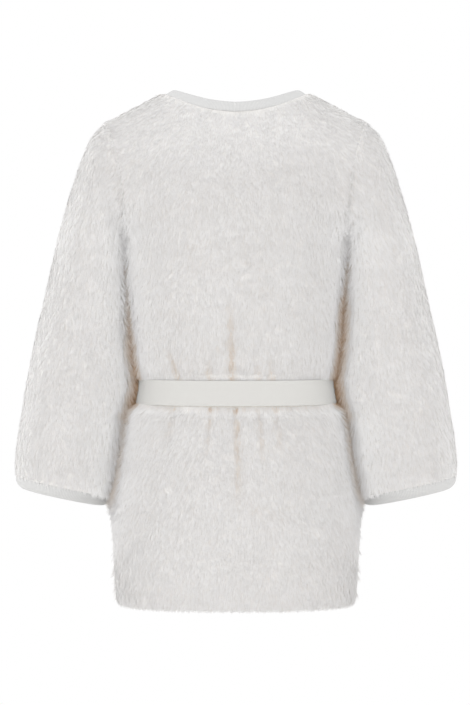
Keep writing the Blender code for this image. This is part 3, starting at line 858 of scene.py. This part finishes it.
def growing_points(node, piece, locks, chance):
    """Scattered points, with normals, on the faces of a piece where hair grows; they crowd in the folds."""
    mesh = piece.data
    mesh.calc_loop_triangles()
    corners = np.empty((len(mesh.loop_triangles), 3), int)
    finish = np.empty(len(corners), int)
    mesh.loop_triangles.foreach_get("vertices", corners.ravel())
    mesh.loop_triangles.foreach_get("material_index", finish)
    places, normals = points_of(mesh)
    corners = corners[finish == GROWS]
    a, b, c = (places[corners[:, i]] for i in range(3))
    areas = np.linalg.norm(np.cross(b - a, c - a), axis=1) / 2
    areas *= 1 + FOLD_CROWD * fold_closeness(node, (a + b + c) / 3, FOLD_DEEP, FOLD_FILL)
    count = int(areas.sum() * locks)
    evenly = (np.arange(count) + chance.random(count)) / count * areas.sum()
    picked = np.minimum(np.searchsorted(np.cumsum(areas), evenly), len(corners) - 1)
    u, v = chance.random((2, count))
    over = u + v > 1
    u[over], v[over] = 1 - u[over], 1 - v[over]
    weights = np.stack([1 - u - v, u, v], axis=-1)[:, :, None]
    return (
        (places[corners[picked]] * weights).sum(axis=1),
        unit((normals[corners[picked]] * weights).sum(axis=1)),
    )


def lock_hairs(places, normals, flow, pile, stretch, lift, chance):
    """Roots and tips of all hairs of the locks at these places."""
    count = len(places)
    along = along_surface(flow, normals)
    beside = np.cross(normals, along)
    rise = np.radians(pile.rise * lift + chance.normal(0, RISE_STRAY, count))[:, None]
    length = (pile.length * stretch * chance.uniform(*LOCK_LENGTHS, count))[:, None]
    lean = along * np.cos(rise) + normals * np.sin(rise)
    angle = chance.uniform(0, 2 * math.pi, (count, pile.hairs, 1))
    reach = pile.spread * np.sqrt(chance.random((count, pile.hairs, 1)))
    aside = reach * (np.cos(angle) * along[:, None] + np.sin(angle) * beside[:, None])
    roots = places[:, None] + aside - normals[:, None] * pile.sunk
    reach_on = chance.uniform(*HAIR_LENGTHS, (count, pile.hairs, 1))
    stray = chance.normal(0, TIP_STRAY, (count, pile.hairs, 3))
    tips = places[:, None] + lean[:, None] * length[:, None] * reach_on
    return roots, tips + aside * (1 - pile.gather) + stray


def stop_at(roots, tips, point, way, over):
    """Shortens hairs whose tips pass a plane by more than some distance, each its own."""
    start = (roots - point) @ way
    end = (tips - point) @ way
    share = np.where(end > over, (over - start) / np.maximum(end - start, 1e-9), 1.0)
    return roots + (tips - roots) * np.clip(share, SHORTEST, 1.0)[..., None]


def pressed(tips, locks):
    """The tips, those of some locks let down to just above the skin of the solids."""
    chosen = tips[locks]
    for tip in chosen.reshape(-1, 3):
        near, normal, _, _ = TREES["furs"].find_nearest(tip)
        rise = (Vector(tip) - near).dot(normal)
        tip -= np.array(normal) * max(rise - TIP_RISE, 0)
    tips[locks] = chosen
    return tips


def hair_mesh(name, roots, tips, faces, shines, tones, pile, chance):
    """One object of thin triangles, a root edge and a tip each, with tone and way along in its map.

    faces are the ways that the locks' triangles face, and shines the normals that they are shaded with.
    """
    hairs = roots.shape[1]
    roots, tips = roots.reshape(-1, 3), tips.reshape(-1, 3)
    tones = np.clip(tones.reshape(-1), TONE_WIDTH * 2, 1 - TONE_WIDTH * 2)
    count = len(roots)
    width = (pile.width * chance.uniform(*HAIR_WIDTHS, count) / 2)[:, None]
    side = unit(np.cross(np.repeat(faces, hairs, axis=0), tips - roots)) * width
    corners = np.stack([roots + side, roots - side, tips], axis=1).reshape(-1, 3)
    mesh = bpy.data.meshes.new(name)
    mesh.vertices.add(count * 3)
    mesh.vertices.foreach_set("co", corners.ravel())
    mesh.loops.add(count * 3)
    mesh.loops.foreach_set("vertex_index", np.arange(count * 3))
    mesh.polygons.add(count)
    mesh.polygons.foreach_set("loop_start", np.arange(count) * 3)
    tone_map = mesh.uv_layers.new(name=HAIR_MAP)
    ones = np.ones(count)
    across = np.stack([tones - TONE_WIDTH, tones + TONE_WIDTH, tones], axis=-1)
    along = np.stack([0 * ones, 0 * ones, ones], axis=-1)
    tone_map.data.foreach_set("uv", np.stack([across, along], axis=-1).ravel())
    mesh.update(calc_edges=True)
    mesh.shade_smooth()
    mesh.normals_split_custom_set_from_vertices(np.repeat(shines, 3 * hairs, axis=0))
    mesh.materials.append(fur_hair)
    piece = bpy.data.objects.new(name, mesh)
    scene.collection.objects.link(piece)
    return piece


# %% [markdown]
# ## Fur of the body and sleeves
#
# What the locks of a panel look like depends on where they grow. In the folds between sleeve and body they
# are longer, stand up and are painted tan and dark as shade, with painted light at the top and beside them.
# In a crease and below the belt they are painted darker as shade. On the shoulders they lie close, and there
# and on the outer sleeves they are painted lighter as light.
# Panel by panel, the places are drawn first, then the nap, the tones, the hairs, and where they are cut.

# %% Places of the locks
NECK_CLEAR = 0.6 * MM
PATCH_SIZE = 45 * MM
# Among a spot's measures, one says how much painted shade the folds give it
Spots = namedtuple("Spots", "places normals fold dark fill near low deep patch by_armhole")


def spots_of(node, seed, chance):
    """Where the locks of a panel grow, and what their looks depend on there."""
    places, normals = growing_points(node, backings[node], FUR_PILE.locks, chance)
    clear = np.array([TREES["neck"].find_nearest(place, NECK_CLEAR)[0] is None for place in places])
    places, normals = places[clear], normals[clear]
    on_sleeve = node in SLEEVE_NODES
    gaps = (FOLD_MOUTH, FOLD_DARK, FOLD_FILL, FOLD_SHADE)
    # The second of these says where the folds get painted shade
    fold, dark, fill, near = (fold_closeness(node, places, FOLD_DEEP, gap) for gap in gaps)
    deep = np.zeros(len(places)) if on_sleeve else crease_depth(places)
    patch = wander(places, PATCH_SIZE, seed + 2)
    over_armhole = over_seam("body" if on_sleeve else "sleeves", places, SEAM_LAP)
    by_armhole = np.linalg.norm(over_armhole, axis=1)
    by_armhole *= np.interp(places[:, 2], (FOLD_FULL, FOLD_START), (0, 1))
    return Spots(places, normals, fold, dark, fill, near, fold_lowness(places), deep, patch, by_armhole)


# %% Tones of the locks
PLAIN_TONE, PATCH_TONE, LOCK_TONE, HAIR_TONE = 0.63, 0.025, 0.02, 0.025
RIPPLE_TONE = 0.02
RIPPLE_SIZE = 9 * MM
RIPPLE_STRETCH = np.array([0.2, 0.2, 1.0])
# Painted light on locks facing up at shoulders and ridges, less by the armhole, and on outer sleeve sides
SHOULDER_SLOPES, SHOULDER_PAINTED_LIGHT, ARMHOLE_LESS_LIGHT = (0.25, 0.75), 0.14, 0.16
RIDGE_SLOPES, RIDGE_PAINTED_LIGHT = (0.7, 0.95), 0.20
SIDE_SLOPES, SIDE_PAINTED_LIGHT = (0.5, 1.0), 0.20
# The painted shade of the folds, which turns to painted light at their top and fades below the belt,
# and the painted light beside it
FOLD_PAINTED_SHADE, PAINTED_SHADE_AT_TOP = 0.54, -0.3
FADE_AT, FADE = (-0.605, -0.565, -0.470, -0.440), (0, 0.65, 0.65, 1)
LOW_SLEEVE = -0.46
BESIDE_NEAR, LOW_BESIDE_LIGHT, SLEEVE_BESIDE_LIGHT, BODY_BESIDE_LIGHT = (0.35, 0.78), 0.20, 0.13, 0.07
# The thin tan line of painted shade in the upper part of the folds, and the painted light on both sides of
# it
FOLD_TOP_PAINTED_LIGHT, LINE_PAINTED_SHADE = 0.10, 0.50
LINE_NEAR = (0.40, 0.65)
LINE_AT, LINE_SHARES = (-0.245, -0.185), (1, 0.2)
# Painted shade in the creases, each lock a little more or less
CREASE_PAINTED_SHADE, CREASE_SHADE_SPREAD = 0.24, (0.7, 1.2)
# Painted shade on the skirt just below the belt, fading downward
BELT_PAINTED_SHADE, BELT_SHADE_FADE = 0.12, 5 * MM


def tones_of(node, seed, spots, chance):
    """The tone of each lock, from 0 for tan to 1 for white, with painted shade and painted light laid in."""
    height, up = spots.places[:, 2], spots.normals[:, 2]
    ripple = wander(spots.places * RIPPLE_STRETCH, RIPPLE_SIZE, seed + 4)
    tones = PLAIN_TONE + PATCH_TONE * spots.patch + RIPPLE_TONE * ripple
    tones += chance.normal(0, LOCK_TONE, len(height))
    # Painted light where the locks face up, on the shoulders (less by the armhole) and on the ridges
    tones += (SHOULDER_PAINTED_LIGHT - ARMHOLE_LESS_LIGHT * spots.by_armhole) * np.interp(up, SHOULDER_SLOPES, (0, 1))
    tones += RIDGE_PAINTED_LIGHT * np.interp(up, RIDGE_SLOPES, (0, 1))
    # How much painted light lies beside the folds
    beside = BODY_BESIDE_LIGHT
    if node in SLEEVE_NODES:
        # Painted light on the outer sides of the sleeves
        tones += SIDE_PAINTED_LIGHT * np.interp(spots.normals[:, 0] * side_of(node), SIDE_SLOPES, (0, 1))
        beside = np.where(height < LOW_SLEEVE, LOW_BESIDE_LIGHT, SLEEVE_BESIDE_LIGHT)
    # Painted shade in the folds between sleeve and body, which turns to painted light at their top
    dark = spots.dark * (PAINTED_SHADE_AT_TOP + (1 - PAINTED_SHADE_AT_TOP) * spots.low) * np.interp(height, FADE_AT, FADE)
    tones -= FOLD_PAINTED_SHADE * dark
    # Painted light beside the folds
    tones += beside * np.interp(spots.near, BESIDE_NEAR, (0, 1)) * (1 - np.clip(dark, 0, 1))
    # A thin tan line of painted shade in the upper folds, with painted light around it
    line = np.interp(spots.dark, LINE_NEAR, (0, 1)) * np.interp(height, LINE_AT, LINE_SHARES)
    tones += (FOLD_TOP_PAINTED_LIGHT * spots.fill - LINE_PAINTED_SHADE * line) * (1 - spots.low)
    # Painted shade in the creases
    tones -= CREASE_PAINTED_SHADE * spots.deep * chance.uniform(*CREASE_SHADE_SPREAD, len(height))
    # Painted shade on the skirt just below the belt
    if "skirt" in node:
        tones -= BELT_PAINTED_SHADE * np.exp((above_belt(spots.places) + BELT_HALF) / BELT_SHADE_FADE)
    return tones


# %% Length and lift of the locks
FOLD_PARTED = (0.45, 1.0)
PATCH_STRETCH, FILL_STRETCH, PARTED_STRETCH = 0.08, 0.8, 0.35
LIFT_PATCH, PATCH_LIFT = 25 * MM, 0.08
FOLD_LIFT, FILL_LIFT, PARTED_LIFT, CREASE_LIFT = 2.4, 2.2, 1.2, 0.3
SHOULDER_AT, SHOULDER_LIFT = (-0.11, -0.06), 0.7
CUFF_LIFT = 0.3
OUTER_FLAT = 0.45


def growth_of(node, seed, spots):
    """How long each lock is and how much it stands up, beside the plain pile."""
    parted = spots.low * np.where(spots.places[:, 0] > 0, *FOLD_PARTED)
    stretch = (1 + PATCH_STRETCH * spots.patch) * (1 + (FILL_STRETCH - PARTED_STRETCH * parted) * spots.fill)
    lift = 1 + PATCH_LIFT * wander(spots.places, LIFT_PATCH, seed + 3) + FOLD_LIFT * spots.fold
    lift += (FILL_LIFT - PARTED_LIFT * parted) * spots.fill**2 - CREASE_LIFT * spots.deep
    lift *= np.interp(spots.places[:, 2], SHOULDER_AT, (1, SHOULDER_LIFT))
    if node in SLEEVE_NODES:
        point, _, down = cuff_plane(node)
        lift *= np.interp((point - spots.places) @ down, (0, CUFF_TAPER), (CUFF_LIFT, 1))
        outside = np.interp(np.abs(spots.normals[:, 0]), SIDE_SLOPES, (0, 1))
        lift *= 1 - OUTER_FLAT * outside * (1 - spots.fill)
    return stretch, lift


# %% Where the hairs are cut
RAGGED, CUFF_RAGGED = 1.5 * MM, 3.0
CUFF_OVER, BELT_OVER, FRONT_OVER = 4.5 * MM, 1.5 * MM, 2.0 * MM
DOWN = np.array([0, 0, -1.0])


def trimmed(node, places, roots, tips, chance):
    """The tips of a panel's hairs, cut a little raggedly at the cuff, hem, belt and front edge."""
    over = chance.uniform(-RAGGED, RAGGED, roots.shape[:2])
    if node in SLEEVE_NODES:
        point, _, down = cuff_plane(node)
        tips = stop_at(roots, tips, point, down, CUFF_RAGGED * over + CUFF_OVER)
    else:
        tips = stop_at(roots, tips, np.array([0, 0, HEM]), DOWN, over)
    if "bodice" in node:
        edge = np.zeros((len(places), 1, 3))
        edge[:, 0, 2] = BELT_MIDDLE + BELT_HALF - BELT_DIP * np.clip(places[:, 1] / BELT_DEPTH, -1, 1)
        tips = stop_at(roots, tips, edge, DOWN, over + BELT_OVER)
    tips = pressed(tips, places[:, 2] > SHOULDER_AT[0])
    if node.startswith("front"):
        tips = stop_at(roots, tips, np.zeros(3), np.array([-side_of(node), 0, 0]), over + FRONT_OVER)
    return tips


# %% Grow it
FIRST_SEED, SEED_STEP = 20, 10


def fur_of(node, seed):
    """The fur of one panel."""
    chance = np.random.default_rng(seed)
    spots = spots_of(node, seed, chance)
    flow = nap(node, seed, spots, chance)
    tones = tones_of(node, seed, spots, chance)
    stretch, lift = growth_of(node, seed, spots)
    roots, tips = lock_hairs(spots.places, spots.normals, flow, FUR_PILE, stretch, lift, chance)
    tips = trimmed(node, spots.places, roots, tips, chance)
    tones = tones[:, None] + chance.normal(0, HAIR_TONE, roots.shape[:2])
    faces = turned_to_mouth(node, spots.places, spots.normals)
    shines = softened(node, spots.places, spots.normals)
    return hair_mesh(f"fur_{node}", roots, tips, faces, shines, tones, FUR_PILE, chance)


furs = {node: fur_of(node, FIRST_SEED + SEED_STEP * index) for index, node in enumerate(backings)}
for node, piece in backings.items():
    places, normals = points_of(piece.data)
    piece.data.normals_split_custom_set_from_vertices(softened(node, places, normals))
for node, piece in furs.items():
    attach(piece, "root")
    print(f"{piece.name}: {len(piece.data.polygons)} hairs")

# %% [markdown]
# ## Bands and belt
#
# The bands and the belt are rounded copies of their solids. Each gets a map in metres for its ribs or its
# weave. The belt's ends are creased where the knot bunches them, and the knot where the belt turns round it.

# %% Maps in metres
ELLIPSE_POINTS = 721


def round_ellipse(x, y, half_x, half_y):
    """How far round an ellipse each point lies, in metres, and the whole way round; it starts in front."""
    turns = np.linspace(-math.pi, math.pi, ELLIPSE_POINTS)
    line = np.stack([half_x * np.sin(turns), half_y * np.cos(turns)], axis=-1)
    steps = np.linalg.norm(np.diff(line, axis=0), axis=1)
    lengths = np.concatenate([[0], np.cumsum(steps)])
    return np.interp(np.arctan2(x / half_x, y / half_y), turns, lengths), lengths[-1]


def lay_map(piece, along, across, loop=math.inf):
    """Gives a piece a map in metres from values at its vertices; loop is the way round a closed piece."""
    mesh = piece.data
    corners = np.empty(len(mesh.loops), int)
    mesh.loops.foreach_get("vertex_index", corners)
    u = along[corners]
    for face in mesh.polygons:
        part = u[face.loop_start:face.loop_start + face.loop_total]
        if part.max() - part.min() > loop / 2:
            part[part < loop / 2] += loop
    threads = mesh.uv_layers.new(name=THREAD_MAP)
    threads.data.foreach_set("uv", np.stack([u, across[corners]], axis=-1).ravel())


# %% Bands
NECK_HALF_X, NECK_HALF_Y = 0.106, 0.070
CUFF_HALF = 0.073
BAND_SEAM = 1.5 * MM
BAND_UNDER = 2.5 * MM


def band_of(node):
    """A rounded copy of a band, its seam edge drawn in under the fur."""
    shape = merged(node)
    for vert in shape.verts:
        near, _, _, far = TREES["furs"].find_nearest(vert.co, BAND_SEAM)
        if near is not None:
            vert.co += (near - vert.co).normalized() * (far + BAND_UNDER)
    return finished(f"rib_{node}", shape, [rib_knit], FINE)


bands = {node: band_of(node) for node in BAND_NODES}
for node, piece in bands.items():
    places, _ = points_of(piece.data)
    if node == "neck_band":
        along, _ = round_ellipse(places[:, 0], places[:, 1], NECK_HALF_X, NECK_HALF_Y)
        lay_map(piece, along, places[:, 2])
    else:
        point, seam, down = cuff_plane(node)
        middle = np.array(CUFF_MIDDLE) * (side_of(node), 1, 1)
        along, loop = round_ellipse((places - middle) @ seam, places[:, 1] - middle[1], CUFF_HALF, CUFF_HALF)
        lay_map(piece, along, (places - point) @ down, loop)
    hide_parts(node)
    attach(piece, "root")
    print(f"{piece.name}: {half_skin(piece):.5f} square metres")

# %% Belt
BELT_HALF_X, BELT_HALF_Y = 0.143, 0.105
KnotFold = namedtuple("KnotFold", "across slant depth")
KNOT_FOLDS = (KnotFold(-0.0062, 0.10, 1.0), KnotFold(0.0035, -0.06, 0.8), KnotFold(0.0098, 0.04, 0.6))
KNOT_FOLD_WIDTH, KNOT_FOLD_DEPTH = 1.7 * MM, 1.6 * MM
KNOT_FRONT = -0.2
EndFold = namedtuple("EndFold", "share run depth")
END_FOLDS = (EndFold(-0.22, 0.055, 1.0), EndFold(0.10, 0.035, 0.8), EndFold(0.31, 0.070, 0.7))
END_FOLD_WIDTH, END_FOLD_DEPTH = 2.2 * MM, 1.1 * MM
END_ROW = 4 * MM


def knot_creases(x, z, normals):
    """How far the knot's front is pressed in at each point, where the belt turns round it."""
    sink = np.zeros(len(x))
    for fold in KNOT_FOLDS:
        away = x - fold.across - fold.slant * (z - BELT_MIDDLE)
        sink = np.maximum(sink, fold.depth * np.exp(-((away / KNOT_FOLD_WIDTH) ** 2)))
    return sink * KNOT_FOLD_DEPTH * (normals[:, 1] < KNOT_FRONT)


def end_creases(aside, width, down):
    """How far a hanging end is pressed in at each point, where the knot bunches it."""
    sink = np.zeros(len(aside))
    for fold in END_FOLDS:
        fade = np.clip(1 - down / fold.run, 0, 1)
        away = aside - fold.share * width
        sink = np.maximum(sink, fold.depth * fade * np.exp(-((away / END_FOLD_WIDTH) ** 2)))
    return sink * END_FOLD_DEPTH


belts = {node: finished(f"woven_{node}", merged(node), [belting], FINE) for node in BELT_NODES}
for node, piece in belts.items():
    places, normals = points_of(piece.data)
    x, y, z = places.T
    if node == "belt":
        along, loop = round_ellipse(x, y, BELT_HALF_X, BELT_HALF_Y)
        lay_map(piece, along, above_belt(places), loop)
        piece.data.normals_split_custom_set_from_vertices(softened(node, places, normals))
    else:
        low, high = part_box(node)
        if node == "belt_knot":
            middle = (low.x + high.x) / 2
            sink = knot_creases(x, z, normals)
        else:
            row = np.round((high.z - z) / END_ROW)
            lefts, rights = np.array([(x[row == r].min(), x[row == r].max()) for r in row]).T
            middle = (lefts + rights) / 2
            sink = end_creases(x - middle, rights - lefts, high.z - z)
        lay_map(piece, z, x - middle)
        piece.data.vertices.foreach_set("co", (places - normals * sink[:, None]).ravel())
        piece.data.update()
    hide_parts(node)
    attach(piece, "root")
    print(f"{piece.name}: {half_skin(piece):.5f} square metres")

# %% [markdown]
# ## What is cloth
#
# Every piece is a sheet that was cut flat before it was sewn and gathered. Here are the sizes of what
# shows, in metres: the widest and the longest of each cut, and the area of those that aren't rectangles.

# %% Cuts
Cut = namedtuple("Cut", "width length area held rests_on")
